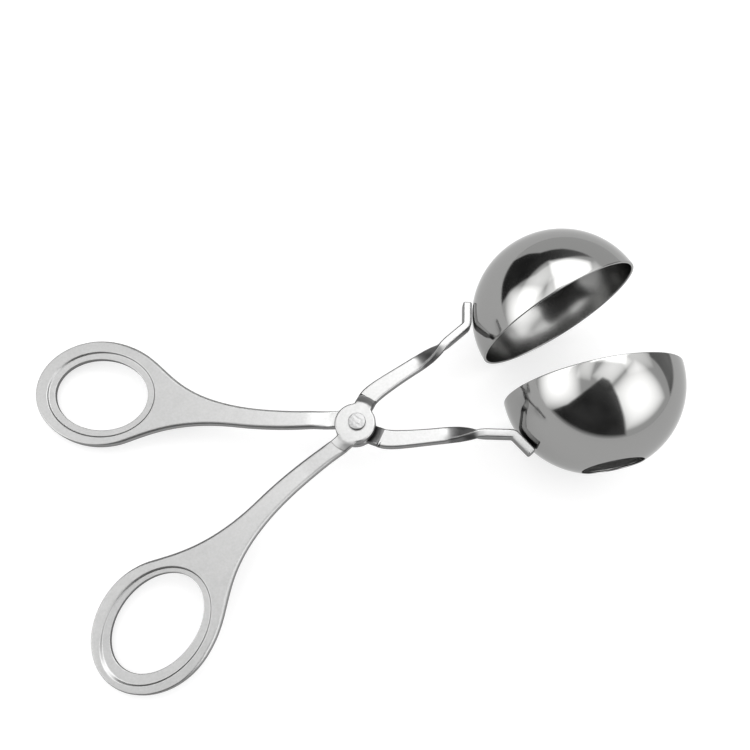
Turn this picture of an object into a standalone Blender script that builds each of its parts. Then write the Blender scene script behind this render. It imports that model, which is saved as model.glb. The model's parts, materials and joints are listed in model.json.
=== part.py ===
"""Meatball tongs: two stamped steel arms crossed on one rivet, with a half-ball cup welded to each.

The arms are the same pressing. One lies turned over on the other, so every shape is drawn once, in the
arm's own frame: the pivot is the origin, +X runs through the centre of the arm's cup when the tongs are
shut, +Y points to the cup's closed end, and z = 0 is the middle of the flat straps.
"""

import math
from typing import NamedTuple

import bmesh
import bpy
from mathutils import Matrix, Vector
from mathutils.geometry import interpolate_bezier

mm = 0.001
deg = math.pi / 180

# Sheet and clearances
sheet = 2.5 * mm  # thickness of both arms
play = 0.3 * mm  # gap between pieces that meet face to face
shank_play = 0.1 * mm  # around the rivet's shank

# How the tongs stand open on the table: each arm is turned this far from shut
open_angle = 9.7 * deg

# Cups
cup_radius = 25.0 * mm  # outside
cup_wall = 0.8 * mm
drain_radius = 8.5 * mm  # the hole at the closed end
cup_distance = 67.1 * mm  # from the pivot to the cup's centre
cup_segments = 48
cup_arc_steps = 10

# Finger rings: an oval hole, a thinner lip around it, and the full sheet outside the lip
hole_half_length = 13.65 * mm
hole_half_width = 10.65 * mm
lip_width = 1.9 * mm
lip_recess = 0.5 * mm  # how deep the lip lies below each face
lip_slope = 0.35 * mm  # width of the slanted step down to the lip
band_at_ends = 3.75 * mm  # full sheet beyond the lip along the oval's length
band_at_sides = 3.2 * mm
ring_distance = 73.6 * mm  # from the pivot to the oval's centre
ring_angle = 17.55 * deg  # of that centre below the -X axis
ring_turn = 23.0 * deg  # of the oval's long axis from X
ring_segments = 48

# The lip was pressed a little off the ring's middle, so each arm's hole and outline lie off the lip's
# centre, along and across the oval
upper_hole_shift = (0.6 * mm, 0.4 * mm)
upper_outline_shift = (0 * mm, 0.2 * mm)
upper_end_trim = 1.4 * mm  # by which the upper ring's band is narrower at the ends
lower_hole_shift = (0 * mm, 0 * mm)
lower_outline_shift = (-0.2 * mm, -0.5 * mm)

# Neck, where the handle strap starts to widen into the ring
neck_distance = 33.8 * mm
neck_angle = 14.8 * deg  # below the -X axis
neck_width = 6.1 * mm
neck_slant = 10.0 * deg  # of the strap's section there
neck_inner_slope = 16.8 * deg
neck_outer_slope = 21.7 * deg
flare_inner_angle = 51.0 * deg  # where the neck's edges leave the oval, from its long axis
flare_outer_angle = -80.0 * deg
flare_inner_reach_shares = (0.20, 0.53)
flare_outer_reach_shares = (0.34, 0.56)
flare_steps = 14

# Boss, the round eye that carries the rivet, and the joggles in which the straps step off it
boss_radius = 5.7 * mm
boss_land = 0.3 * mm  # how far a strap stays level beyond the boss's edge
joggle_run = 2.2 * mm  # over which it steps from the boss's level to the middle
strap_columns = 4  # segments across a strap
boss_gap_segments = 8  # segments of the boss's edge between one strap and the other
jaw_heading = 39.0 * deg  # in which the strap's two edges leave the boss
jaw_edges = (-2.8 * mm, 2.4 * mm)  # their offsets to the left of the line through the pivot
handle_heading = 186.0 * deg
handle_edges = (0 * mm, 4.9 * mm)

# Handle strap between its joggle and the neck
handle_inner_reach_shares = (0.12, 0.50)
handle_outer_reach_shares = (0.15, 0.38)
handle_steps = 10

# Jaw strap, flat as far as its twist
jaw_width = 4.4 * mm
jaw_slope = 4.0 * deg  # of the strap where the twist starts
jaw_inner_reach_shares = (0.08, 0.45)
jaw_outer_reach_shares = (0.18, 0.62)
jaw_steps = 9

# Twist that sets the strap on edge, a little short of a quarter turn
twist_angle = 86.0 * deg
twist_length = 11.5 * mm
twist_steps = 14
twist_reach_shares = (1 / 3, 1 / 3)  # of the twist's middle line
edge_width = 3.9 * mm  # of the strap from the end of the twist
edge_slope = 12.0 * deg
edge_run = 6.8 * mm  # of the strap on edge, from the twist to the bend
bend_radius = 1.9 * mm  # of the bend into the tab, at mid-sheet
bend_steps = 5
tab_angle = 148.5 * deg  # where the tab touches the cup, from +X around the cup's centre
tab_length = 6.3 * mm
tab_overrun = 3.2 * mm  # tab beyond the point where it touches

# Rivet
shank_radius = 1.6 * mm
head_radius = 2.4 * mm
head_height = 0.5 * mm
head_rounding = 0.2 * mm
head_shift = 0.6 * mm  # the heads were peened a little off the shank, towards the cups
rivet_segments = 32
rounding_steps = 3

# Mesh
merge_distance = 0.001 * mm  # joins the copies of a turned shape's points on its axis
sharp_angle = 35.0 * deg

# What the sizes above give
boss_lift = (sheet + play) / 2
cup_lean = math.pi / 2 - twist_angle
lip_thickness_share = (sheet - 2 * lip_recess) / sheet
hole_axes = Vector((hole_half_length, hole_half_width))
lip_axes = hole_axes + Vector((lip_width, lip_width))
step_axes = lip_axes + Vector((lip_slope, lip_slope))
ring_axes = lip_axes + Vector((band_at_ends, band_at_sides))
ring_centre = Vector((-math.cos(ring_angle), -math.sin(ring_angle))) * ring_distance


class RingCut(NamedTuple):
    """Where a ring's hole and outline lie off the lip's centre, and the outline's half axes."""

    hole_shift: Vector
    outline_shift: Vector
    outline_axes: Vector


upper_ring = RingCut(
    Vector(upper_hole_shift), Vector(upper_outline_shift), ring_axes - Vector((upper_end_trim, 0))
)
lower_ring = RingCut(Vector(lower_hole_shift), Vector(lower_outline_shift), ring_axes)


def direction(angle):
    """The unit vector in the plan at this angle from +X."""
    return Vector((math.cos(angle), math.sin(angle)))


def curve(start, start_angle, end, end_angle, reach_shares, steps):
    """Plan points of a Bezier curve that leaves and arrives at the given angles."""
    span = (end - start).length
    first = start + direction(start_angle) * span * reach_shares[0]
    second = end - direction(end_angle) * span * reach_shares[1]
    handles = [p.to_3d() for p in (start, first, second, end)]
    return [p.to_2d() for p in interpolate_bezier(*handles, steps + 1)]


def ring_point(offset):
    """The plan point that lies this far along and across the oval from the lip's centre."""
    return ring_centre + direction(ring_turn) * offset.x + direction(ring_turn + math.pi / 2) * offset.y


def oval_point(axes, angle, shift=Vector((0, 0))):
    """A plan point on an oval of the ring, by its angle parameter from the long axis."""
    return ring_point(Vector((axes.x * math.cos(angle), axes.y * math.sin(angle))) + shift)


def oval_heading(axes, angle):
    """The angle in the plan at which an oval runs on as its parameter grows."""
    return ring_turn + math.atan2(axes.y * math.cos(angle), -axes.x * math.sin(angle))


def root_angles(heading, edges, radius):
    """The angles between which a strap lies on a circle of this radius about the pivot."""
    return [heading + math.asin(edge / radius) for edge in edges]


def root_row(heading, edges, radius):
    """Plan points across a strap on such a circle."""
    first, last = root_angles(heading, edges, radius)
    return [direction(first + (last - first) * i / strap_columns) * radius for i in range(strap_columns + 1)]


def boss_angles():
    """Where the boss's edge has its corners, from the jaw strap's first one all the way round."""
    jaw_first, jaw_last = root_angles(jaw_heading, jaw_edges, boss_radius)
    handle_first, handle_last = root_angles(handle_heading, handle_edges, boss_radius)
    stretches = (
        (jaw_first, jaw_last, strap_columns),
        (jaw_last, handle_first, boss_gap_segments),
        (handle_first, handle_last, strap_columns),
        (handle_last, jaw_first + math.tau, boss_gap_segments),
    )
    return [start + (end - start) * i / count for start, end, count in stretches for i in range(count)]


def joggle_rows(heading, edges):
    """The row where a strap starts to step down from the boss's level, and the row where it is down."""
    top = root_row(heading, edges, boss_radius + boss_land)
    foot = root_row(heading, edges, boss_radius + boss_land + joggle_run)
    return [[Vector((*p, boss_lift)) for p in top], [p.to_3d() for p in foot]]


def across(inner, outer):
    """One row of points over a flat strap, from its inner edge to its outer edge."""
    return [inner.lerp(outer, i / strap_columns).to_3d() for i in range(strap_columns + 1)]


def neck_row():
    """The inner and outer edge points of the section where the neck starts."""
    centre = Vector((-math.cos(neck_angle), -math.sin(neck_angle))) * neck_distance
    half = direction(neck_slant + math.pi / 2) * neck_width / 2
    return centre + half, centre - half


def handle_rows():
    """Rows of the handle strap from the boss to the neck."""
    rows = joggle_rows(handle_heading, handle_edges)
    neck_inner, neck_outer = neck_row()
    inner = curve(
        rows[-1][0].to_2d(), handle_heading, neck_inner, math.pi + neck_inner_slope,
        handle_inner_reach_shares, handle_steps,
    )
    outer = curve(
        rows[-1][-1].to_2d(), handle_heading, neck_outer, math.pi + neck_outer_slope,
        handle_outer_reach_shares, handle_steps,
    )
    return rows + [across(a, b) for a, b in zip(inner[1:], outer[1:])]


def jaw_rows():
    """Rows of the jaw strap from the boss to the start of the twist."""
    rows = joggle_rows(jaw_heading, jaw_edges)
    end = jaw_path()[0]
    half = direction(jaw_slope + math.pi / 2) * jaw_width / 2
    inner = curve(
        rows[-1][0].to_2d(), jaw_heading, end - half, jaw_slope, jaw_inner_reach_shares, jaw_steps
    )
    outer = curve(
        rows[-1][-1].to_2d(), jaw_heading, end + half, jaw_slope, jaw_outer_reach_shares, jaw_steps
    )
    return rows + [across(a, b) for a, b in zip(inner[1:], outer[1:])]


def jaw_path():
    """The strap's middle at the start and the end of its twist, the bend's centre and the tab's end."""
    cup_centre = Vector((cup_distance, 0))
    touch = cup_centre + direction(tab_angle) * (cup_radius + play + sheet / 2)
    tab_heading = tab_angle - math.pi / 2
    tab_end = touch + direction(tab_heading) * tab_overrun
    bend_centre = tab_end - direction(tab_heading) * tab_length + direction(tab_angle) * bend_radius
    bend_start = bend_centre - direction(edge_slope + math.pi / 2) * bend_radius
    twist_end = bend_start - direction(edge_slope) * edge_run
    twist_start = twist_end - direction((jaw_slope + edge_slope) / 2) * twist_length
    return twist_start, twist_end, bend_centre, tab_end


def edge_row(centre, heading, width, turned):
    """A row of the jaw strap turned about its own run, inner edge up."""
    side = direction(heading + math.pi / 2).to_3d() * math.cos(turned)
    side.z = -math.sin(turned)
    half = side * width / 2
    low, high = centre.to_3d() - half, centre.to_3d() + half
    return [low.lerp(high, i / strap_columns) for i in range(strap_columns + 1)]


def twisted_rows():
    """Rows of the twist, the strap on edge, its bend and the tab."""
    twist_start, twist_end, bend_centre, tab_end = jaw_path()
    tab_heading = tab_angle - math.pi / 2
    rows = []
    path = curve(twist_start, jaw_slope, twist_end, edge_slope, twist_reach_shares, twist_steps)
    for i in range(1, twist_steps + 1):
        share = i / twist_steps
        turned = twist_angle * share * share * (3 - 2 * share)
        width = jaw_width + (edge_width - jaw_width) * share
        rows.append(edge_row(path[i], jaw_slope + (edge_slope - jaw_slope) * share, width, turned))
    for i in range(bend_steps + 1):
        heading = edge_slope + (tab_heading - edge_slope) * i / bend_steps
        centre = bend_centre - direction(heading + math.pi / 2) * bend_radius
        rows.append(edge_row(centre, heading, edge_width, twist_angle))
    rows.append(edge_row(tab_end, tab_heading, edge_width, twist_angle))
    return rows


def extrude_row(bm, verts, points):
    """Pulls a row of joined corners out to new points and returns the new corners in order."""
    edges = [bm.edges.get(pair) for pair in zip(verts, verts[1:])]
    made = bmesh.ops.extrude_edge_only(bm, edges=edges)["geom"]
    fresh = {v for v in made if isinstance(v, bmesh.types.BMVert)}
    row = [next(e.other_vert(v) for e in v.link_edges if e.other_vert(v) in fresh) for v in verts]
    for vert, point in zip(row, points):
        vert.co = point
    return row


def closed_loop(bm, points):
    verts = [bm.verts.new(p) for p in points]
    edges = [bm.edges.new(pair) for pair in zip(verts, verts[1:] + verts[:1])]
    return verts, edges


def add_ring(bm, neck, cut):
    """The finger ring and its neck in the middle plane, from the strap's last row of corners."""
    angles = [math.tau * i / ring_segments for i in range(ring_segments)]
    hole, hole_edges = closed_loop(bm, [oval_point(hole_axes, a, cut.hole_shift).to_3d() for a in angles])
    lip, lip_edges = closed_loop(bm, [oval_point(lip_axes, a).to_3d() for a in angles])
    step, step_edges = closed_loop(bm, [oval_point(step_axes, a).to_3d() for a in angles])
    bmesh.ops.bridge_loops(bm, edges=hole_edges + lip_edges)
    bmesh.ops.bridge_loops(bm, edges=lip_edges + step_edges)
    neck_inner, neck_outer = neck_row()
    axes, shift = cut.outline_axes, cut.outline_shift
    inner = curve(
        neck_inner, math.pi + neck_inner_slope,
        oval_point(axes, flare_inner_angle, shift), oval_heading(axes, flare_inner_angle),
        flare_inner_reach_shares[::-1], flare_steps,
    )
    outer = curve(
        oval_point(axes, flare_outer_angle, shift), oval_heading(axes, flare_outer_angle),
        neck_outer, neck_outer_slope, flare_outer_reach_shares, flare_steps,
    )
    sweep = math.tau + flare_outer_angle - flare_inner_angle
    count = round(ring_segments * sweep / math.tau)
    arc = [oval_point(axes, flare_inner_angle + sweep * i / count, shift) for i in range(1, count)]
    rim = [bm.verts.new(p.to_3d()) for p in inner[1:] + arc + outer[:-1]]
    chain = [neck[0]] + rim + [neck[-1]]
    outline = [bm.edges.new(pair) for pair in zip(chain, chain[1:])]
    outline += [bm.edges.get(pair) for pair in zip(neck, neck[1:])]
    bmesh.ops.triangle_fill(bm, use_beauty=True, edges=outline + step_edges)
    return hole + lip


def arm_mesh(name, cut):
    """The middle surface of an arm. Its vertex group holds each corner's share of the sheet."""
    bm = bmesh.new()
    share = bm.verts.layers.deform.verify()
    angles = boss_angles()
    lift = Vector((0, 0, boss_lift))
    bore, bore_edges = closed_loop(
        bm, [(direction(a) * (shank_radius + shank_play)).to_3d() + lift for a in angles]
    )
    boss, boss_edges = closed_loop(bm, [(direction(a) * boss_radius).to_3d() + lift for a in angles])
    bmesh.ops.bridge_loops(bm, edges=bore_edges + boss_edges)
    row = boss[: strap_columns + 1]
    for points in jaw_rows() + twisted_rows():
        row = extrude_row(bm, row, points)
    first = strap_columns + boss_gap_segments
    row = boss[first : first + strap_columns + 1]
    for points in handle_rows():
        row = extrude_row(bm, row, points)
    thin = set(add_ring(bm, row, cut))
    for vert in bm.verts:
        vert[share][0] = lip_thickness_share if vert in thin else 1
    bmesh.ops.recalc_face_normals(bm, faces=bm.faces)
    mesh = bpy.data.meshes.new(name)
    bm.to_mesh(mesh)
    bm.free()
    return mesh


def steel(name, colour, roughness):
    material = bpy.data.materials.new(name)
    material.use_nodes = True
    shader = material.node_tree.nodes["Principled BSDF"]
    shader.inputs["Base Color"].default_value = (*colour, 1)
    shader.inputs["Metallic"].default_value = 1
    shader.inputs["Roughness"].default_value = roughness
    return material


def add_object(name, mesh, parent, material):
    obj = bpy.data.objects.new(name, mesh)
    bpy.context.scene.collection.objects.link(obj)
    obj.parent = parent
    mesh.materials.append(material)
    return obj


def add_empty(name, parent=None):
    empty = bpy.data.objects.new(name, None)
    bpy.context.scene.collection.objects.link(empty)
    empty.parent = parent
    return empty


def smooth(mesh):
    mesh.shade_smooth()
    mesh.set_sharp_from_angle(angle=sharp_angle)


def add_arm(name, parent, material, cut):
    mesh = arm_mesh(name, cut)
    obj = add_object(name, mesh, parent, material)
    obj.vertex_groups.new(name="sheet_share")
    solid = obj.modifiers.new("Sheet", "SOLIDIFY")
    solid.thickness = sheet
    solid.offset = 0
    solid.use_even_offset = True
    solid.vertex_group = "sheet_share"
    smooth(mesh)
    return obj


def turned_mesh(name, profile, segments):
    """A mesh turned about Z from a profile of (radius, height) points that closes or ends on the axis."""
    bm = bmesh.new()
    verts, edges = closed_loop(bm, [Vector((r, 0, z)) for r, z in profile])
    if profile[0][0] == 0:
        bm.edges.remove(edges.pop())
    bmesh.ops.spin(
        bm, geom=verts + edges, cent=(0, 0, 0), axis=(0, 0, 1), angle=math.tau, steps=segments,
        use_merge=True,
    )
    bmesh.ops.remove_doubles(bm, verts=bm.verts, dist=merge_distance)
    bmesh.ops.recalc_face_normals(bm, faces=bm.faces)
    mesh = bpy.data.meshes.new(name)
    bm.to_mesh(mesh)
    bm.free()
    smooth(mesh)
    return mesh


def cup_profile():
    """Half-ball shell with its rim at z = 0 and the drain hole at the top."""
    points = []
    for radius in (cup_radius, cup_radius - cup_wall):
        top = math.asin(drain_radius / radius)
        arc = [top + (math.pi / 2 - top) * i / cup_arc_steps for i in range(cup_arc_steps + 1)]
        side = [(radius * math.sin(a), radius * math.cos(a)) for a in arc]
        points += side if radius == cup_radius else side[::-1]
    return points


def add_cup(name, parent, material):
    obj = add_object(name, turned_mesh(name, cup_profile(), cup_segments), parent, material)
    obj.rotation_euler = (cup_lean - math.pi / 2, 0, 0)
    rim_gap = Vector((0, math.cos(cup_lean), math.sin(cup_lean))) * play / 2
    obj.location = Vector((cup_distance, 0, 0)) + rim_gap
    return obj


def rivet_profile():
    """Half section of a shank between two flat heads with rounded edges, from axis to axis."""
    under = sheet + play / 2 + play
    top = under + head_height
    quarter = [math.pi / 2 * i / rounding_steps for i in range(rounding_steps + 1)]
    edge = [
        (
            head_radius - head_rounding + head_rounding * math.sin(a),
            top - head_rounding + head_rounding * math.cos(a),
        )
        for a in quarter
    ]
    upper = [(0, top)] + edge + [(head_radius, under), (shank_radius, under)]
    return upper + [(r, -z) for r, z in upper[::-1]]


def add_rivet(name, parent, material):
    mesh = turned_mesh(name, rivet_profile(), rivet_segments)
    for vert in mesh.vertices:
        on_shank = abs(math.hypot(vert.co.x, vert.co.y) - shank_radius) < shank_play
        vert.co.x += 0 if on_shank else head_shift
    return add_object(name, mesh, parent, material)


def table_tilt():
    """How far the cups lift the front, so that they and the far end of the lower ring touch the table."""
    turn = ring_turn + open_angle
    axes = lower_ring.outline_axes
    reach = math.hypot(axes.x * math.cos(turn), axes.y * math.sin(turn))
    ring_end = ring_point(lower_ring.outline_shift).dot(direction(-open_angle)) - reach
    run = cup_distance * math.cos(open_angle) - ring_end
    distance = math.hypot(run, sheet / 2)
    return math.asin(cup_radius / distance) - math.atan2(sheet / 2, run)


def stand_on_table(frame):
    """Moves the whole object so that its box is centred on the origin and stands on z = 0."""
    bpy.context.view_layer.update()
    graph = bpy.context.evaluated_depsgraph_get()
    corners = []
    for obj in bpy.context.scene.objects:
        if obj.type == "MESH":
            solid = obj.evaluated_get(graph)
            corners += [solid.matrix_world @ v.co for v in solid.data.vertices]
    low = Vector([min(c[i] for c in corners) for i in range(3)])
    high = Vector([max(c[i] for c in corners) for i in range(3)])
    middle = (low + high) / 2
    frame.location -= Vector((middle.x, middle.y, low.z))


def build():
    for obj in list(bpy.data.objects):
        bpy.data.objects.remove(obj)
    satin = steel("satin_steel", (0.62, 0.62, 0.61), 0.32)
    mirror = steel("mirror_steel", (0.66, 0.66, 0.65), 0.06)
    rivet_steel = steel("rivet_steel", (0.64, 0.64, 0.63), 0.22)

    frame = add_empty("tongs")
    frame.rotation_euler = (0, -table_tilt(), 0)
    upper = add_empty("upper_arm_pivot", frame)
    upper.rotation_euler = (0, 0, open_angle)
    lower = add_empty("lower_arm_pivot", frame)
    lower.matrix_local = Matrix.Rotation(-open_angle, 4, "Z") @ Matrix.Rotation(math.pi, 4, "X")

    add_arm("upper_arm", upper, satin, upper_ring)
    add_cup("upper_arm_cup", upper, mirror)
    add_arm("lower_arm", lower, satin, lower_ring)
    add_cup("lower_arm_cup", lower, mirror)
    add_rivet("pivot_rivet", frame, rivet_steel)
    stand_on_table(frame)


build()
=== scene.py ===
"""Looks of the meatball tongs: polished cups, satin arms, camera and studio. Metres, +Z up."""

import json
import math
from typing import NamedTuple

import bmesh
import bpy
from mathutils import Matrix, Vector
from mathutils.geometry import interpolate_bezier


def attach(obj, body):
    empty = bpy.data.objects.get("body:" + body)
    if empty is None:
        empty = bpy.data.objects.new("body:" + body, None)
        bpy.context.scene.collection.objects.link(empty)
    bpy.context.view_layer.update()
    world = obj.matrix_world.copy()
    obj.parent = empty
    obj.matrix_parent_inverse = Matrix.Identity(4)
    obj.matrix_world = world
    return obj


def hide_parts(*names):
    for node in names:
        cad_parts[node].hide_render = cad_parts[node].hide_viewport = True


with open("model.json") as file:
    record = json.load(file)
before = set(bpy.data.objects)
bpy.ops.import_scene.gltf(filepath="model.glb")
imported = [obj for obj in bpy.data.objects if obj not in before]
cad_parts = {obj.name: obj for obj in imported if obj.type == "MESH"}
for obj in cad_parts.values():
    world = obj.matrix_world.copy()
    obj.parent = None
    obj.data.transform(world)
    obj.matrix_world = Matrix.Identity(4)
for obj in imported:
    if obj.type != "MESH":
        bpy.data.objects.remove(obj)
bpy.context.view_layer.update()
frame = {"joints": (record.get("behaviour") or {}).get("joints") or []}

mm = 0.001
deg = math.pi / 180
up = Vector((0, 0, 1))

# Sizes that the CAD source has too. Reach shares say how far each end of a Bezier curve keeps its
# heading, as a share of the way between its ends.
sheet = 2.5 * mm  # thickness of the arms
play = 0.3 * mm  # gap between pieces that meet face to face
open_angle = 9.7 * deg  # of each arm from the middle line
cup_radius = 25.0 * mm
cup_wall = 0.8 * mm
drain_radius = 8.5 * mm
cup_distance = 67.1 * mm  # from the rivet to a cup's centre
cup_lean = 4.0 * deg
hole_axes = Vector((13.65, 10.65)) * mm  # half the finger hole's length and width
lip_width = 1.9 * mm
lip_recess = 0.5 * mm
lip_axes = hole_axes + Vector((lip_width, lip_width))
ring_bands = Vector((3.75, 3.2)) * mm  # from the lip to the ring's outline, at ends and sides
ring_distance = 73.6 * mm
ring_angle = 17.55 * deg
ring_turn = 23.0 * deg
hole_shifts = {"upper": Vector((0.6, 0.4)) * mm, "lower": Vector((0, 0))}  # along, across
outline_shifts = {"upper": Vector((0, 0.2)) * mm, "lower": Vector((-0.2, -0.5)) * mm}
end_trims = {"upper": 1.4 * mm, "lower": 0}  # taken off the ring's ends
neck_distance = 33.8 * mm  # from the rivet to the neck, where the handle begins to flare
neck_angle = 14.8 * deg
neck_width = 6.1 * mm
neck_slant = 10.0 * deg
neck_slopes = (16.8 * deg, 21.7 * deg)  # of the handle's two sides there
flare_angles = (51.0 * deg, -80.0 * deg)  # where the flare's sides meet the ring
flare_reach_shares = ((0.53, 0.20), (0.34, 0.56))
boss_radius = 5.7 * mm
boss_land = 0.3 * mm  # level run from the boss's edge to a strap's first fold
joggle_run = 2.2 * mm  # of the step from the boss's level to the middle level
lift = (sheet + play) / 2  # height of a boss above its arm's middle level
jaw_heading = 39.0 * deg  # in which the jaw strap leaves the boss
jaw_edges = (-2.8 * mm, 2.4 * mm)  # how far its edges run beside the rivet's middle
handle_heading = 186.0 * deg
handle_edges = (0, 4.9 * mm)
handle_reach_shares = ((0.12, 0.50), (0.15, 0.38))
jaw_width = 4.4 * mm
jaw_slope = 4.0 * deg
jaw_reach_shares = ((0.08, 0.45), (0.18, 0.62))
twist_angle = 86.0 * deg
twist_length = 11.5 * mm
twist_reach_shares = (1 / 3, 1 / 3)
edge_width = 3.9 * mm  # of the strap that stands on edge
edge_slope = 12.0 * deg
edge_run = 6.8 * mm
bend_radius = 1.9 * mm
tab_angle = 148.5 * deg  # where the tab lies against the cup, around the cup's centre
tab_length = 6.3 * mm
tab_overrun = 3.2 * mm  # tab beyond the point that is nearest to the cup
shank_radius = 1.6 * mm
shank_play = 0.1 * mm
head_radius = 2.4 * mm
head_height = 0.5 * mm
head_shift = 0.6 * mm

# Finish of the edges
polish = 0.05 * mm  # taken off the outsides of cups and rings
edge_rounding = 0.95 * mm  # of an arm's outer edges
ring_end_rounding = 0.35 * mm
jaw_edge_rounding = 0.65 * mm
tab_edge_rounding = 0.55 * mm  # from the end of the twist
boss_edge_rounding = 0.5 * mm
end_rounding = 0.5 * mm  # of the tab's end
lip_rounding = 0.22 * mm  # of the finger hole and the lip's step
lip_slope = 0.28 * mm  # width of the slanted step down to the lip
lip_wider_by = {"upper": 0.6 * mm, "lower": 0.1 * mm}  # that step at the ring's far end
ring_end = 170 * deg  # the middle of the ring's far end
lip_focus = 8  # the higher, the narrower the stretch there where the step is wider
rim_rounding = 0.3 * mm
head_rounding = 0.22 * mm
head_crown = ((0, 1.02), (0.55, 1.01), (1, 1))  # rivet heads' tops: shares of radius and height
flat_margin = 0.08 * mm  # a strip that keeps the flat beside a rounding flat in the light
jaw_fold_arms = ((0.3 * mm, 1.1 * mm), (0.6 * mm, 0.6 * mm))  # how far both folds are bent
lower_handle_run = 7.5 * mm  # the lower handle steps off the boss in one long soft bend
crease_angle = 28 * deg
merge_distance = 0.002 * mm

# Courses: lists of (place, value) with straight runs between
upper_handle_drop = (
    (-boss_land, 0), (0, 0), (joggle_run, 0.72), (joggle_run + 10 * mm, 1),
)  # a fold and then a gentle slope: share of the lift, by distance from the first fold
ring_roundings = (
    (51 * deg, edge_rounding), (80 * deg, ring_end_rounding),
    (250 * deg, ring_end_rounding), (280 * deg, edge_rounding),
)  # of the ring's outer edge, by angle
twist_course = (
    (0, 0), (0.1, 0.13), (0.35, 0.28), (0.62, 0.6), (0.85, 0.93), (1, 1),
)  # share of the twist, by share of its length
twist_shades = (
    (0, 0), (0.1, 0.1), (0.17, 1), (0.72, 1), (0.84, 0), (1, 0),
)  # painted shade, by share of the twist: the dark that the turning strap mirrors
joggle_shades = (
    (0, 0.2), (0.2, 0.9), (0.45, 0.7), (0.55, 0.3), (0.7, 0.85), (0.9, 0.8), (1, 0),
)  # painted shade, by share of the jaw's joggle: dark bands at its folds
handle_shades = {
    "upper": ((0, 0), (7, 0), (8, 0.8), (9, 0), (10, 0)), "lower": ((0, 0), (1, 0)),
}  # painted shade by row: a painted dark line along the upper handle's fold
hole_wall_painted_shade = 0.6  # painted shade on the finger hole's wall

# Smoothness of the arms
across_shares = (0, 0.36, 0.5, 0.64, 1)  # of a strap's width, where it has corners
middle = across_shares.index(0.5)
soft_rows = 4  # of a strap beyond the joggle, over which its edges grow rounder
fold_steps = 4
joggle_rows = 2 * (fold_steps + 1)
handle_steps = 20
flare_steps = 28
jaw_steps = 18
twist_steps = 32
bend_steps = 10
ring_turns = 96
boss_arc_steps = 24
edge_steps = 8
bore_turns = 48

# Smoothness of the turned pieces
corner_steps = 5
cup_turns = 192
cup_arc_steps = 48
rivet_turns = 72

# Looks. Scales are in clouds per metre; dulling is what a noise adds to the roughness
grain_scale, pit_scale, cloud_scale = 5200.0, 1500.0, 260.0
wave_scale, haze_scale, dent_scale = 120.0, 900.0, 900.0
cloth_scale = 2.5
cloud_share = 0.4  # of the satin's clouds in its tone; the rest is its pits'
cloud_tones = (0.85, 1.17)  # the darkest and the lightest satin, as shares of its tone
cloud_dulling, grain_dulling = 0.08, 0.06
haze_dulling = 0.05
peened_dulling = 0.1
satin_warmth, mirror_warmth = 0.995, 0.985  # blue as a share of red and green
grazing_satin, grazing_mirror = 0.5, 0.8  # light that is kept at a grazing angle
floor_tone = 0.48
floor_glow = 0.6

# Camera, in the frame of the flat tongs with the rivet at its origin
camera_azimuth = -12.453 * deg
camera_elevation = 68.12 * deg
camera_roll = -7.275 * deg
camera_distance = 240.43 * mm
camera_target = Vector((10.066, 12.403, 0)) * mm
focal_length = 40.507
sensor_width = 36
clip_range = (0.01, 20)

# Studio
floor_reach = 0.8
lamp_distance = 1.2
lamp_watts = 4  # a square metre of softbox takes this for a radiance of 1
lamp_edge = 5.0  # the higher, the narrower a softbox's soft edge
card_edge = 0.14  # how soft a card's edge is, as a share of the way to its middle
cups_middle = Vector((61.7, -0.6, 25)) * mm

hinge = frame["joints"][0]
pivot = Vector(hinge["pos_m"])
axis = Vector(hinge["axis"])
tongs = Matrix.Translation(pivot) @ Matrix.Rotation(math.atan2(axis.x, axis.z), 4, "Y")
turned_over = Matrix.Rotation(math.pi, 4, "X")
places = {
    "upper": tongs @ Matrix.Rotation(open_angle, 4, "Z"),
    "lower": tongs @ Matrix.Rotation(-open_angle, 4, "Z") @ turned_over,
}


class Value:
    """One output of a material's nodes. Arithmetic on it adds Math nodes."""

    def __init__(self, tree, socket=None):
        self.tree = tree
        self.socket = socket

    def node(self, kind, inputs, settings=(), output=0):
        """Adds a node: its settings first, then what its sockets hold or are fed by."""
        made = self.tree.nodes.new(kind)
        for name, setting in dict(settings).items():
            setattr(made, name, setting)
        for name, value in inputs.items():
            socket = made.inputs[name]
            if isinstance(value, Value):
                self.tree.links.new(value.socket, socket)
            else:
                socket.default_value = value
        return Value(self.tree, made.outputs[output] if made.outputs else None)

    def calculate(self, operation, first, second):
        return self.node("ShaderNodeMath", {0: first, 1: second}, {"operation": operation})

    def __add__(self, other):
        return self.calculate("ADD", self, other)

    def __radd__(self, other):
        return self.calculate("ADD", other, self)

    def __sub__(self, other):
        return self.calculate("SUBTRACT", self, other)

    def __rsub__(self, other):
        return self.calculate("SUBTRACT", other, self)

    def __mul__(self, other):
        return self.calculate("MULTIPLY", self, other)

    def __rmul__(self, other):
        return self.calculate("MULTIPLY", other, self)


def new_material(name):
    """An empty material, and the value that its nodes start from."""
    material = bpy.data.materials.new(name)
    material.use_nodes = True
    material.node_tree.nodes.clear()
    return material, Value(material.node_tree)


def finish_material(nodes, shader):
    nodes.node("ShaderNodeOutputMaterial", {"Surface": shader})


def grey(tone, warmth=1):
    return (tone, tone, tone * warmth, 1)


def object_place(nodes):
    return nodes.node("ShaderNodeTexCoord", {}, output="Object")


def noise(where, scale, detail):
    inputs = {"Vector": where, "Scale": scale, "Detail": detail}
    return where.node("ShaderNodeTexNoise", inputs)


def attribute(nodes, name):
    return nodes.node("ShaderNodeAttribute", {}, {"attribute_name": name}, output="Fac")


def mix(factor, first, second):
    """The first colour where the factor is 0, and the second where it is 1."""
    inputs = {"Factor": factor, 6: first, 7: second}  # 6 and 7 are the node's colours A and B
    return factor.node("ShaderNodeMix", inputs, {"data_type": "RGBA"}, output=2)


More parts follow.
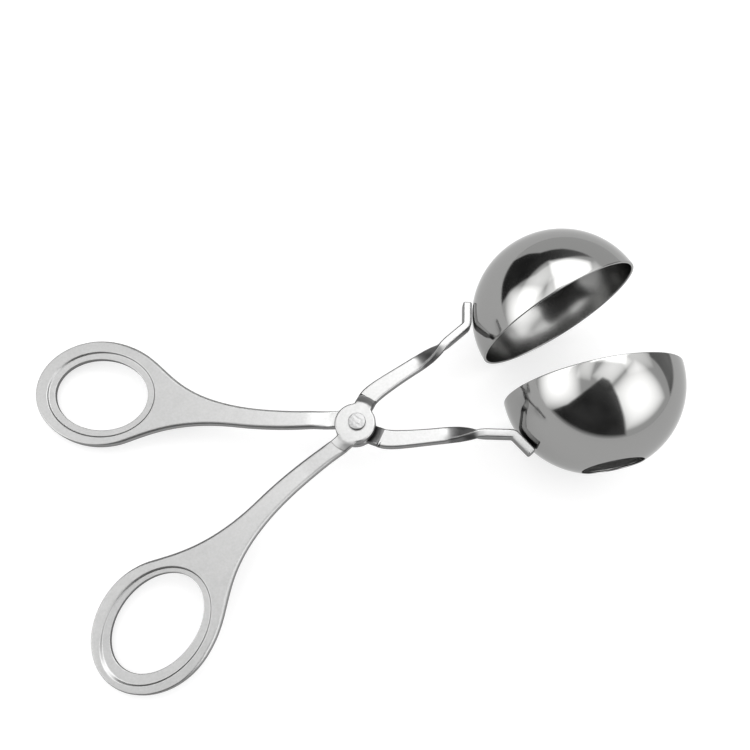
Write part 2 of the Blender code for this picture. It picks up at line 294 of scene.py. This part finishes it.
def bump(height, strength, distance):
    inputs = {"Strength": strength, "Distance": distance, "Height": height}
    return height.node("ShaderNodeBump", inputs)


def bare_metal(nodes, tone, dullness, dents, grazing_tone=1):
    return nodes.node("ShaderNodeBsdfPrincipled", {
        "Base Color": tone, "Metallic": 1.0, "Roughness": dullness, "Normal": dents,
        "Specular Tint": grey(grazing_tone),
    })


def satin_steel(tone, pressed_tone, dullness):
    """Tumbled steel of the arms: fine grain, faint clouds, and painted shade at folds and twists.
    """
    material, nodes = new_material("satin_steel")
    where = object_place(nodes)
    grain = noise(where, grain_scale, detail=3.0)
    clouds = noise(where, cloud_scale, detail=3.0)
    pits = noise(where, pit_scale, detail=2.0)
    darkest, lightest = (grey(tone * share, satin_warmth) for share in cloud_tones)
    tumbled = mix(clouds * cloud_share + pits * (1 - cloud_share), darkest, lightest)
    # Painted shade: a darker grey at the folds, the twist and the finger hole's wall
    shaded = mix(attribute(nodes, "pressed"), tumbled, grey(pressed_tone))
    rough = dullness + clouds * cloud_dulling + grain * grain_dulling
    dents = bump(grain + pits, strength=0.35, distance=0.04 * mm)
    finish_material(nodes, bare_metal(nodes, shaded, rough, dents, grazing_satin))
    return material


def mirror_steel(name, tone, dullness):
    """Polished steel of the cups: nearly a mirror, a little wavy, with fine rubbing marks."""
    material, nodes = new_material(name)
    where = object_place(nodes)
    waves = bump(noise(where, wave_scale, detail=1.0), strength=0.25, distance=0.1 * mm)
    rough = dullness + noise(where, haze_scale, detail=4.0) * haze_dulling
    polished = grey(tone, mirror_warmth)
    finish_material(nodes, bare_metal(nodes, polished, rough, waves, grazing_mirror))
    return material


def peened_steel(tone, dullness):
    """Steel of the rivet heads: small hammer dents and a dull grain."""
    material, nodes = new_material("peened_steel")
    where = object_place(nodes)
    dents = bump(noise(where, dent_scale, detail=2.0), strength=0.6, distance=0.3 * mm)
    rough = dullness + noise(where, grain_scale, detail=2.0) * peened_dulling
    finish_material(nodes, bare_metal(nodes, grey(tone), rough, dents))
    return material


def floor_white():
    """White paper. What the camera and the steel see of it is lifted to plain white."""
    material, nodes = new_material("floor_white")
    rays = ("Is Camera Ray", "Is Glossy Ray", "Is Transmission Ray")
    seen = sum(nodes.node("ShaderNodeLightPath", {}, output=ray) for ray in rays)
    paper = nodes.node("ShaderNodeBsdfDiffuse", {"Color": grey(floor_tone)})
    glow = nodes.node("ShaderNodeEmission", {"Color": grey(1), "Strength": seen * floor_glow})
    finish_material(nodes, nodes.node("ShaderNodeAddShader", {0: paper, 1: glow}))
    return material


def flag_cloth(name, tone):
    """Dark cloth that shades a part of the studio, cloudy and with soft edges."""
    material, nodes = new_material(name)
    clouds = noise(object_place(nodes), cloth_scale, detail=2.0)
    clear = nodes.node("ShaderNodeBsdfTransparent", {})
    cloth = nodes.node("ShaderNodeEmission", {"Color": clouds * (2 * tone)})
    inputs = {0: attribute(nodes, "solid"), 1: clear, 2: cloth}
    finish_material(nodes, nodes.node("ShaderNodeMixShader", inputs))
    return material


def add_object(name, data):
    obj = bpy.data.objects.new(name, data)
    bpy.context.scene.collection.objects.link(obj)
    return obj


def new_mesh(name, bm, materials):
    mesh = bpy.data.meshes.new(name)
    bm.to_mesh(mesh)
    bm.free()
    for material in materials:
        mesh.materials.append(material)
    return mesh


def finish_piece(name, bm, materials, body, nodes):
    """Puts a mesh into the scene as a piece of the object that stands for CAD nodes."""
    mesh = new_mesh(name, bm, materials)
    mesh.shade_smooth()
    mesh.set_sharp_from_angle(angle=crease_angle)
    obj = add_object(name, mesh)
    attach(obj, body)
    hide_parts(*nodes)


def clamped(share):
    return min(max(share, 0), 1)


def course(points, place):
    """The value of a course at this place."""
    for (before, first), (after, last) in zip(points, points[1:]):
        if place <= after:
            return first + (last - first) * (place - before) / (after - before)
    return points[-1][1]


def direction(angle):
    """The unit vector in the plan at this angle from +X."""
    return Vector((math.cos(angle), math.sin(angle)))


def curve(start, start_angle, end, end_angle, reach_shares, steps):
    """Plan points of a Bezier curve that leaves and arrives at the given angles."""
    span = (end - start).length
    first = start + direction(start_angle) * span * reach_shares[0]
    second = end - direction(end_angle) * span * reach_shares[1]
    handles = [p.to_3d() for p in (start, first, second, end)]
    return [p.to_2d() for p in interpolate_bezier(*handles, steps + 1)]


def oval_point(axes, angle, shift):
    """A plan point on an oval of the finger ring."""
    centre = direction(math.pi + ring_angle) * ring_distance
    along = axes.x * math.cos(angle) + shift.x
    across = axes.y * math.sin(angle) + shift.y
    return centre + direction(ring_turn) * along + direction(ring_turn + math.pi / 2) * across


def oval_heading(axes, angle):
    return ring_turn + math.atan2(axes.y * math.cos(angle), -axes.x * math.sin(angle))


def straight_row(first, last):
    return [first.lerp(last, share).to_3d() for share in across_shares]


def edge_turns(heading, edges, radius):
    """Where the two edges of a strap cross a circle about the pivot."""
    return [heading + math.asin(edge / radius) for edge in edges]


def root_row(heading, edges, radius, height):
    """A row of points across a strap, on a circle about the pivot."""
    first, last = edge_turns(heading, edges, radius)
    turns = [first + (last - first) * share for share in across_shares]
    return [Vector((radius * math.cos(turn), radius * math.sin(turn), height)) for turn in turns]


def edge_row(centre, heading, width, turned_by):
    """A row of the jaw strap turned about its own run, inner edge up."""
    side = direction(heading + math.pi / 2).to_3d() * math.cos(turned_by)
    side.z = -math.sin(turned_by)
    half = side * width / 2
    return [(centre.to_3d() - half).lerp(centre.to_3d() + half, share) for share in across_shares]


def jaw_joggle():
    """Rows from the boss's edge down a steep step, with both folds rounded."""
    top = Vector((boss_radius + boss_land, lift))
    foot = Vector((boss_radius + boss_land + joggle_run, 0))
    level, slope = Vector((1, 0)), (foot - top).normalized()
    folds = ((top, level, slope, jaw_fold_arms[0]), (foot, slope, level, jaw_fold_arms[1]))
    path = []
    for fold, before, after, arms in folds:
        for i in range(fold_steps + 1):
            share = i / fold_steps
            path.append(fold - before * arms[0] * (1 - share) ** 2 + after * arms[1] * share ** 2)
    return [root_row(jaw_heading, jaw_edges, radius, height) for radius, height in path]


def handle_joggle():
    steps = joggle_rows - 1
    radii = [boss_radius + (boss_land + joggle_run) * i / steps for i in range(joggle_rows)]
    return [root_row(handle_heading, handle_edges, radius, 0) for radius in radii]


def handle_height(row, body):
    """Height of a row of the handle: the boss's level, then down to the middle level."""
    place = row[middle].to_2d().length - boss_radius - boss_land
    if body == "upper":
        return lift * (1 - course(upper_handle_drop, place))
    share = clamped(place / lower_handle_run)
    return lift * (1 - share * share * (3 - 2 * share))


def strap_rows(heading, edges, ends, end_angles, reach_shares, steps):
    """Rows of a strap from the end of its joggle to the two given plan points."""
    start = root_row(heading, edges, boss_radius + boss_land + joggle_run, 0)
    sides = [
        curve(start[corner].to_2d(), heading, end, angle, shares, steps)
        for corner, end, angle, shares in zip((0, -1), ends, end_angles, reach_shares)
    ]
    return [straight_row(a, b) for a, b in zip(sides[0][1:], sides[1][1:])]


def neck_ends():
    centre = direction(math.pi + neck_angle) * neck_distance
    half = direction(neck_slant + math.pi / 2) * neck_width / 2
    return centre + half, centre - half


def handle_rows(body):
    """Rows of the handle from the boss to the neck."""
    slopes = [math.pi + slope for slope in neck_slopes]
    rows = handle_joggle() + strap_rows(
        handle_heading, handle_edges, neck_ends(), slopes, handle_reach_shares, handle_steps
    )
    for row in rows:
        height = handle_height(row, body)
        for point in row:
            point.z = height
    return rows


def jaw_rows():
    """Rows of the jaw: off the boss, flat, twisted, on edge, round the bend and along the tab."""
    touch = Vector((cup_distance, 0)) + direction(tab_angle) * (cup_radius + play + sheet / 2)
    tab_heading = tab_angle - math.pi / 2
    tab_end = touch + direction(tab_heading) * tab_overrun
    tab_start = tab_end - direction(tab_heading) * tab_length
    bend_centre = tab_start + direction(tab_angle) * bend_radius
    bend_start = bend_centre - direction(edge_slope + math.pi / 2) * bend_radius
    twist_end = bend_start - direction(edge_slope) * edge_run
    twist_start = twist_end - direction((jaw_slope + edge_slope) / 2) * twist_length
    half = direction(jaw_slope + math.pi / 2) * jaw_width / 2
    ends = (twist_start - half, twist_start + half)
    rows = jaw_joggle() + strap_rows(
        jaw_heading, jaw_edges, ends, (jaw_slope, jaw_slope), jaw_reach_shares, jaw_steps
    )
    path = curve(
        twist_start, jaw_slope, twist_end, edge_slope, twist_reach_shares, twist_steps
    )
    for i in range(1, twist_steps + 1):
        share = i / twist_steps
        turned_by = twist_angle * course(twist_course, share)
        width = jaw_width + (edge_width - jaw_width) * share
        heading = jaw_slope + (edge_slope - jaw_slope) * share
        rows.append(edge_row(path[i], heading, width, turned_by))
    for i in range(bend_steps + 1):
        heading = edge_slope + (tab_heading - edge_slope) * i / bend_steps
        centre = bend_centre - direction(heading + math.pi / 2) * bend_radius
        rows.append(edge_row(centre, heading, edge_width, twist_angle))
    cap_start = tab_end - direction(tab_heading) * end_rounding
    rows.append(edge_row(cap_start, tab_heading, edge_width, twist_angle))
    return rows


class Section(NamedTuple):
    """Corners round a strap: two rounded edges, each from top to bottom, and two faces."""

    first: list
    top: list
    last: list
    bottom: list

    def loop(self):
        return self.first[::-1] + self.top + self.last + self.bottom[::-1]


def edge_shape(rounding):
    """Half section of a rounded edge: (distance inwards, height), from the top face down."""
    turns = [math.pi / 2 * i / edge_steps for i in range(edge_steps + 1)]
    top = [(rounding + flat_margin, sheet / 2)]
    top += [
        (rounding * (1 - math.sin(turn)), sheet / 2 - rounding * (1 - math.cos(turn)))
        for turn in turns
    ]
    return top + [(inwards, -height) for inwards, height in top[::-1]]


def edge_corners(bm, point, inwards, normal, rounding):
    return [
        bm.verts.new(point + inwards * depth + normal * height)
        for depth, height in edge_shape(rounding)
    ]


def mitre(first, second):
    """The way in from a corner between two edges, given the ways in from both."""
    return (first + second) / (1 + first.dot(second))


def add_section(bm, row, normal, rounding, other_ways=None):
    ways = [(row[1] - row[0]).normalized(), (row[-2] - row[-1]).normalized()]
    if other_ways:
        ways = [mitre(way, other) for way, other in zip(ways, other_ways)]
    half = normal * sheet / 2
    return Section(
        edge_corners(bm, row[0], ways[0], normal, rounding),
        [bm.verts.new(point + half) for point in row[1:-1]],
        edge_corners(bm, row[-1], ways[1], normal, rounding),
        [bm.verts.new(point - half) for point in row[1:-1]],
    )


def join(bm, first, second, is_closed=False):
    """A strip of quads between two rows of corners."""
    pairs = list(zip(first, second))
    following = pairs[1:] + pairs[:1] if is_closed else pairs[1:]
    for (a, b), (c, d) in zip(pairs, following):
        bm.faces.new((a, c, d, b))


def join_all(bm, rows, is_closed=False):
    """Strips of quads from each row of corners to the next."""
    for first, second in zip(rows, rows[1:]):
        join(bm, first, second, is_closed)


def fill_between(bm, outline, hole):
    """A flat face with a hole, between two closed rows of corners."""
    edges = []
    for corners in (outline, hole):
        for pair in zip(corners, corners[1:] + corners[:1]):
            edges.append(bm.edges.get(pair) or bm.edges.new(pair))
    bmesh.ops.triangle_fill(bm, use_beauty=True, edges=edges)


def add_strap(bm, rows, roundings, shades):
    """A strap from its rows of points; the first row lies on the boss's edge."""
    pressed = bm.verts.layers.float["pressed"]
    to_pivot = [-point.to_2d().to_3d().normalized() for point in (rows[0][0], rows[0][-1])]
    sections = []
    for i, row in enumerate(rows):
        before, after = rows[max(i - 1, 0)], rows[min(i + 1, len(rows) - 1)]
        normal = (after[middle] - before[middle]).cross(row[-1] - row[0]).normalized()
        section = add_section(bm, row, normal, roundings[i], to_pivot if i == 0 else None)
        # Painted shade: each row's corners carry its darkening for the satin material
        for corner in section.loop():
            corner[pressed] = shades[i]
        sections.append(section)
    join_all(bm, [section.loop() for section in sections], is_closed=True)
    return sections


def cap_strap(bm, section, row, run):
    """Closes a strap's end with rounded edges."""
    centre = row[middle]
    across = (row[-1] - row[0]).normalized()
    normal = run.cross(row[-1] - row[0]).normalized()
    half_width = (row[-1] - row[0]).length / 2
    loops = [section.loop()]
    offsets = [corner.co - centre for corner in loops[0]]
    for i in range(1, edge_steps + 1):
        turn = math.pi / 2 * i / edge_steps
        inset = end_rounding * (1 - math.cos(turn))
        wide, thick = 1 - inset / half_width, 1 - inset / (sheet / 2)
        place = centre + run * end_rounding * math.sin(turn)
        loops.append([
            bm.verts.new(
                place + across * offset.dot(across) * wide + normal * offset.dot(normal) * thick
            )
            for offset in offsets
        ])
    join_all(bm, loops, is_closed=True)
    bm.faces.new(loops[-1])


def add_boss(bm, jaw, handle):
    """The round boss between the first sections of both straps, with the bore for the rivet."""
    jaw_turns = edge_turns(jaw_heading, jaw_edges, boss_radius)
    handle_turns = edge_turns(handle_heading, handle_edges, boss_radius)
    arcs = []
    for start, end in ((jaw_turns[1], handle_turns[0]), (handle_turns[1], jaw_turns[0] + math.tau)):
        arc = []
        for i in range(1, boss_arc_steps):
            out = direction(start + (end - start) * i / boss_arc_steps).to_3d()
            place = out * boss_radius + up * lift
            arc.append(edge_corners(bm, place, -out, up, boss_edge_rounding))
        arcs.append(arc)
    join_all(bm, [jaw.last] + arcs[0] + [handle.first])
    join_all(bm, [handle.last] + arcs[1] + [jaw.first])
    bores = []
    for end, side, jaw_face, handle_face in (
        (0, sheet / 2, jaw.top, handle.top), (-1, -sheet / 2, jaw.bottom, handle.bottom),
    ):
        outline = [jaw.first[end]] + jaw_face
        outline += [corners[end] for corners in [jaw.last] + arcs[0] + [handle.first]]
        outline += handle_face + [corners[end] for corners in [handle.last] + arcs[1]]
        bore = []
        for i in range(bore_turns):
            out = direction(math.tau * i / bore_turns).to_3d()
            bore.append(bm.verts.new(out * (shank_radius + shank_play) + up * (lift + side)))
        fill_between(bm, outline, bore)
        bores.append(bore)
    join(bm, *bores, is_closed=True)


def ring_outline(body):
    """Plan points round the flare and the ring from neck to neck, and how round each edge is."""
    axes = lip_axes + ring_bands - Vector((end_trims[body] + polish, polish))
    shift = outline_shifts[body]
    start, end = flare_angles
    neck_inner, neck_outer = neck_ends()
    inner = curve(
        neck_inner, math.pi + neck_slopes[0],
        oval_point(axes, start, shift), oval_heading(axes, start),
        flare_reach_shares[0], flare_steps,
    )
    outer = curve(
        oval_point(axes, end, shift), oval_heading(axes, end),
        neck_outer, neck_slopes[1],
        flare_reach_shares[1], flare_steps,
    )
    sweep = math.tau + end - start
    count = round(ring_turns * sweep / math.tau)
    turns = [start + sweep * i / count for i in range(1, count)]
    points = inner + [oval_point(axes, turn, shift) for turn in turns] + outer
    roundings = [edge_rounding] * len(inner) + [course(ring_roundings, turn) for turn in turns]
    return points, roundings + [edge_rounding] * len(outer)


def lip_shape(slope):
    """Section from the ring's flat over the lip to the other side: (distance from lip, height)."""
    face, recess = sheet / 2, sheet / 2 - lip_recess
    flat = slope + lip_rounding + flat_margin
    top = [
        ((flat, face), False), ((slope, face), True), ((0, recess), True),
        ((-lip_width, recess), True),
    ]
    bottom = [((offset, -height), is_rounded) for (offset, height), is_rounded in top[::-1]]
    return rounded(top + bottom, lip_rounding)


def add_lip(bm, body):
    """Columns of corners over the lip and round the edge of the finger hole."""
    pressed = bm.verts.layers.float["pressed"]
    wall_top = sheet / 2 - lip_recess - lip_rounding / 2
    columns = []
    for i in range(ring_turns):
        turn = math.tau * i / ring_turns
        wider = lip_wider_by[body] * max(0, math.cos(turn - ring_end)) ** lip_focus
        column = []
        for offset, height in lip_shape(lip_slope + wider):
            shift = hole_shifts[body] * clamped(-offset / lip_width)
            place = oval_point(lip_axes + Vector((offset, offset)), turn, shift)
            corner = bm.verts.new(place.to_3d() + up * height)
            # Painted shade on the finger hole's wall
            if abs(height) < wall_top:
                corner[pressed] = hole_wall_painted_shade
            column.append(corner)
        columns.append(column)
    join_all(bm, columns + columns[:1])
    return columns


def add_ring(bm, body, neck):
    """The finger ring behind the handle's last section, with its hole and its thinner lip."""
    points, roundings = ring_outline(body)
    edges = []
    for i in range(1, len(points) - 1):
        run = (points[i + 1] - points[i - 1]).normalized()
        inwards = Vector((-run.y, run.x, 0))
        edges.append(edge_corners(bm, points[i].to_3d(), inwards, up, roundings[i]))
    join_all(bm, [neck.first] + edges + [neck.last])
    columns = add_lip(bm, body)
    for end, neck_face in ((0, neck.top), (-1, neck.bottom)):
        outline = [corners[end] for corners in edges + [neck.last]]
        outline += neck_face[::-1] + [neck.first[end]]
        fill_between(bm, outline, [column[end] for column in columns])


def add_jaw(bm):
    """The jaw strap with its rounded end. Returns its sections."""
    rows = jaw_rows()
    flats = joggle_rows + jaw_steps
    roundings = (
        (0, boss_edge_rounding), (joggle_rows - 1, boss_edge_rounding),
        (joggle_rows + soft_rows, jaw_edge_rounding), (flats, jaw_edge_rounding),
        (flats + twist_steps, tab_edge_rounding),
    )
    # Painted shade: dark bands over the joggle and a dark zone over the twist
    shades = []
    for i in range(len(rows)):
        twisted = course(twist_course, clamped((i - flats + 1) / twist_steps))
        joggled = i / (joggle_rows - 1)
        shades.append(course(joggle_shades, joggled) + course(twist_shades, twisted))
    sections = add_strap(bm, rows, [course(roundings, i) for i in range(len(rows))], shades)
    run = (rows[-1][middle] - rows[-2][middle]).normalized()
    cap_strap(bm, sections[-1], rows[-1], run)
    return sections


def add_handle(bm, body):
    """The handle from the boss to the neck. Returns its sections."""
    rows = handle_rows(body)
    roundings = (
        (0, boss_edge_rounding), (joggle_rows - 1, boss_edge_rounding),
        (joggle_rows + soft_rows, edge_rounding),
    )
    # Painted shade: a dark line at the upper handle's fold
    shades = [course(handle_shades[body], i) for i in range(len(rows))]
    return add_strap(bm, rows, [course(roundings, i) for i in range(len(rows))], shades)


def add_arm(name, materials, body, node):
    """The stamped arm with its edges rounded as tumbling leaves them."""
    bm = bmesh.new()
    # Per corner painted shade, which the satin material reads
    bm.verts.layers.float.new("pressed")
    jaw = add_jaw(bm)
    handle = add_handle(bm, body)
    add_boss(bm, jaw[0], handle[0])
    add_ring(bm, body, handle[-1])
    bmesh.ops.recalc_face_normals(bm, faces=bm.faces)
    bm.transform(places[body])
    finish_piece(name, bm, materials, body, [node])


def turned(profile, steps):
    """A shape turned about Z from a profile of (radius, height): closed, or from axis to axis."""
    bm = bmesh.new()
    verts = [bm.verts.new((radius, 0, height)) for radius, height in profile]
    edges = [bm.edges.new(pair) for pair in zip(verts, verts[1:])]
    if profile[0][0] > 0:
        edges.append(bm.edges.new((verts[-1], verts[0])))
    bmesh.ops.spin(
        bm, geom=verts + edges, cent=(0, 0, 0), axis=up, angle=math.tau, steps=steps,
        use_merge=True,
    )
    bmesh.ops.remove_doubles(bm, verts=bm.verts, dist=merge_distance)
    bmesh.ops.recalc_face_normals(bm, faces=bm.faces)
    return bm


def rounded(corners, rounding):
    """A closed profile with its corners cut by arcs, from a list of (point, is it rounded)."""
    points = []
    count = len(corners)
    for i, (corner, is_rounded) in enumerate(corners):
        here = Vector(corner)
        if not is_rounded:
            points.append((here.x, here.y))
            continue
        before = (Vector(corners[i - 1][0]) - here).normalized() * rounding
        after = (Vector(corners[(i + 1) % count][0]) - here).normalized() * rounding
        for k in range(corner_steps + 1):
            share = k / corner_steps
            bend = here + before * (1 - share) ** 2 + after * share ** 2
            points.append((bend.x, bend.y))
    return points


def cup_profile():
    """Half-ball shell, rim at z = 0 and drain hole at the top, both with rounded edges."""
    corners = []
    outside = cup_radius - polish
    for radius in (outside, cup_radius - cup_wall):
        top = math.asin(drain_radius / radius)
        side = []
        for i in range(cup_arc_steps + 1):
            angle = top + (math.pi / 2 - top) * i / cup_arc_steps
            at_end = i in (0, cup_arc_steps)
            side.append(((radius * math.sin(angle), radius * math.cos(angle)), at_end))
        corners += side if radius == outside else side[::-1]
    return rounded(corners, rim_rounding)


def add_cup(name, materials, body, node):
    bm = turned(cup_profile(), cup_turns)
    for face in bm.faces:
        is_inside = face.calc_center_median().length < cup_radius - cup_wall / 2
        face.material_index = 1 if is_inside else 0
    rim_gap = Vector((0, math.cos(cup_lean), math.sin(cup_lean))) * play / 2
    place = Matrix.Translation(Vector((cup_distance, 0, 0)) + rim_gap)
    turn = Matrix.Rotation(cup_lean - math.pi / 2, 4, "X")
    bm.transform(places[body] @ place @ turn)
    finish_piece(name, bm, materials, body, [node])


def add_rivet(name, materials, body, node):
    under = sheet + play / 2 + play
    top = under + head_height
    corners = [((head_radius * out, top * rise), out == 1) for out, rise in head_crown]
    corners += [((head_radius, under), False), ((shank_radius, under), False)]
    corners += [((radius, -height), is_rounded) for (radius, height), is_rounded in corners[::-1]]
    bm = turned(rounded(corners, head_rounding), rivet_turns)
    for vert in bm.verts:
        is_off_shank = math.hypot(vert.co.x, vert.co.y) > shank_radius + merge_distance
        edge = under - merge_distance if is_off_shank else under + merge_distance
        if abs(vert.co.z) > edge:
            vert.co.x += head_shift
    bm.transform(tongs)
    finish_piece(name, bm, materials, body, [node])


def add_stage_sheet(name, bm, material, seen_by_camera=True):
    """A sheet of the studio. One that the camera doesn't see shades the steel, not the floor."""
    obj = add_object(name, new_mesh(name, bm, [material]))
    obj.visible_camera = seen_by_camera
    obj.visible_diffuse = seen_by_camera


def add_floor():
    bm = bmesh.new()
    bmesh.ops.create_grid(bm, x_segments=1, y_segments=1, size=floor_reach)
    add_stage_sheet("floor", bm, floor_white())


def toward(azimuth, elevation, distance):
    """A place seen from between the cups; azimuth is clockwise from +Y as seen from above."""
    return cups_middle + distance * Vector((
        math.sin(azimuth) * math.cos(elevation),
        math.cos(azimuth) * math.cos(elevation),
        math.sin(elevation),
    ))


def facing(place, roll):
    """Where a lamp stands: at this place, its front towards the cups."""
    turn = (cups_middle - place).to_track_quat("-Z", "Y").to_matrix().to_4x4()
    return Matrix.Translation(place) @ turn @ Matrix.Rotation(roll, 4, "Z")


def vector_maths(operation, first, second=(0, 0, 0), output="Vector"):
    inputs = {0: first, 1: second}
    return first.node("ShaderNodeVectorMath", inputs, {"operation": operation}, output)


def soft_edged(nodes, falloff):
    """A softbox's strength over its face: full in the middle, less outwards, none at the edge."""
    face = nodes.node("ShaderNodeNewGeometry", {}, output="Parametric")
    where = vector_maths("SUBTRACT", face, (0.5, 0.5, 0))  # from the middle; an edge is at 0.5
    off = vector_maths("LENGTH", where, output="Value") * 2
    sides = vector_maths("ABSOLUTE", where)
    across, along = (nodes.node("ShaderNodeSeparateXYZ", {0: sides}, output=o) for o in ("X", "Y"))
    edge = nodes.calculate("MAXIMUM", across, along) * 2
    return (1 - off * falloff) * (1 - nodes.calculate("POWER", edge, lamp_edge))


def add_softbox(name, azimuth, elevation, size, radiance, roll=0, falloff=0.3, lights_floor=True):
    """A lamp with a soft edge. One that doesn't light the floor is only mirrored in the steel."""
    lamp = bpy.data.lights.new(name, "AREA")
    lamp.shape = "RECTANGLE"
    lamp.size, lamp.size_y = size
    lamp.energy = lamp_watts * size[0] * size[1] * radiance
    lamp.use_nodes = True
    strength = soft_edged(Value(lamp.node_tree), falloff)
    emission = lamp.node_tree.nodes["Emission"]
    lamp.node_tree.links.new(strength.socket, emission.inputs["Strength"])
    obj = add_object(name, lamp)
    obj.matrix_world = facing(toward(azimuth * deg, elevation * deg, lamp_distance), roll * deg)
    obj.visible_camera = False
    obj.visible_diffuse = lights_floor


def add_flag(name, tone, distance, corners):
    """A dark card that only the steel sees. A corner is its place and how solid it is there."""
    bm = bmesh.new()
    solid = bm.verts.layers.float.new("solid")
    outer = [
        bm.verts.new(toward(azimuth * deg, elevation * deg, distance))
        for azimuth, elevation, _ in corners
    ]
    centre = sum((vert.co for vert in outer), Vector()) / len(outer)
    inner = [bm.verts.new(vert.co.lerp(centre, card_edge)) for vert in outer]
    for i, vert in enumerate(inner):
        vert[solid] = corners[i][2]
        bm.faces.new((outer[i - 1], outer[i], vert, inner[i - 1]))
    bm.faces.new(inner)
    add_stage_sheet(name, bm, flag_cloth(name, tone), seen_by_camera=False)


def add_room():
    """White surroundings, which are the floor's light too."""
    world = bpy.data.worlds.new("room")
    world.use_nodes = True
    background = world.node_tree.nodes["Background"]
    background.inputs["Color"].default_value = grey(1)
    background.inputs["Strength"].default_value = 1.0
    bpy.context.scene.world = world


def add_camera():
    back = Vector((
        math.sin(camera_azimuth) * math.cos(camera_elevation),
        -math.cos(camera_azimuth) * math.cos(camera_elevation),
        math.sin(camera_elevation),
    ))
    right = Vector((math.cos(camera_azimuth), math.sin(camera_azimuth), 0))
    roll = Matrix.Rotation(camera_roll, 4, "Z")
    turn = Matrix((right, back.cross(right), back)).transposed().to_4x4() @ roll
    data = bpy.data.cameras.new("camera")
    data.lens = focal_length
    data.sensor_width = sensor_width
    data.clip_start, data.clip_end = clip_range
    camera = add_object("camera", data)
    place = Matrix.Translation(camera_target + back * camera_distance)
    camera.matrix_world = tongs @ place @ turn
    bpy.context.scene.camera = camera


bpy.context.scene.view_settings.view_transform = "Standard"

satin = satin_steel(tone=0.25, pressed_tone=0.105, dullness=0.28)
peened = peened_steel(tone=0.225, dullness=0.3)
mirror = mirror_steel("mirror_steel", tone=0.268, dullness=0.06)
# The cups' insides: duller steel, and a darker tone as painted shade for the bowls' dark insides
inside = mirror_steel("cup_inside", tone=0.24, dullness=0.17)
for side in ("upper", "lower"):
    add_arm(f"{side}_arm_satin", [satin], side, f"{side}_arm")
    add_cup(f"{side}_cup_polished", [mirror, inside], side, f"{side}_arm_cup")
add_rivet("pivot_rivet_peened", [peened], "lower", "pivot_rivet")

add_floor()
add_room()

# Softboxes: azimuth and elevation in degrees, width and height in metres, radiance
add_softbox("left_softbox", -82, 27, (1.45, 1.3), 3.2, roll=-20, falloff=0.7, lights_floor=False)
add_softbox("top_softbox", 23, 64, (1.02, 1.06), 4.0, lights_floor=False)
add_softbox("low_middle_softbox", -40, 45, (1.4, 0.58), 1.3, roll=-20)
add_softbox("middle_softbox", -64, 66, (0.9, 0.4), 1.2, roll=-15)
add_softbox("overhead_softbox", 150, 84, (1.1, 0.56), 1.5, lights_floor=False)
add_softbox("side_softbox", 78, 55, (1.0, 0.9), 1.0)
add_softbox("right_softbox", 147, 38, (1.4, 1.5), 2.8, falloff=0.5, lights_floor=False)

# Cards: tone, distance in metres, and corners with azimuth and elevation in degrees, and how solid
add_flag("back_flag", 0.05, 1.6, [
    (-63, -3, 1), (-14, -3, 1), (-5, 7, 1), (1, 19, 1), (22, 24, 0.84),
    (52, 30, 0.75), (30, 39, 0.84), (0, 44, 0.96), (-32, 40, 1), (-48, 20, 1),
])
add_flag("camera_flag", 0.08, 0.9, [
    (-104, -1.5, 1), (-190, -1.5, 1), (-182, 50, 1), (-165, 72, 0.9),
    (-135, 74, 0.9), (-120, 55, 1), (-112, 20, 1),
])
add_flag("right_flag", 0.3, 0.7, [
    (70, -1, 1), (118, -1, 1), (103, 22, 1), (92, 36, 1), (80, 35, 1), (68, 25, 1),
])
add_camera()
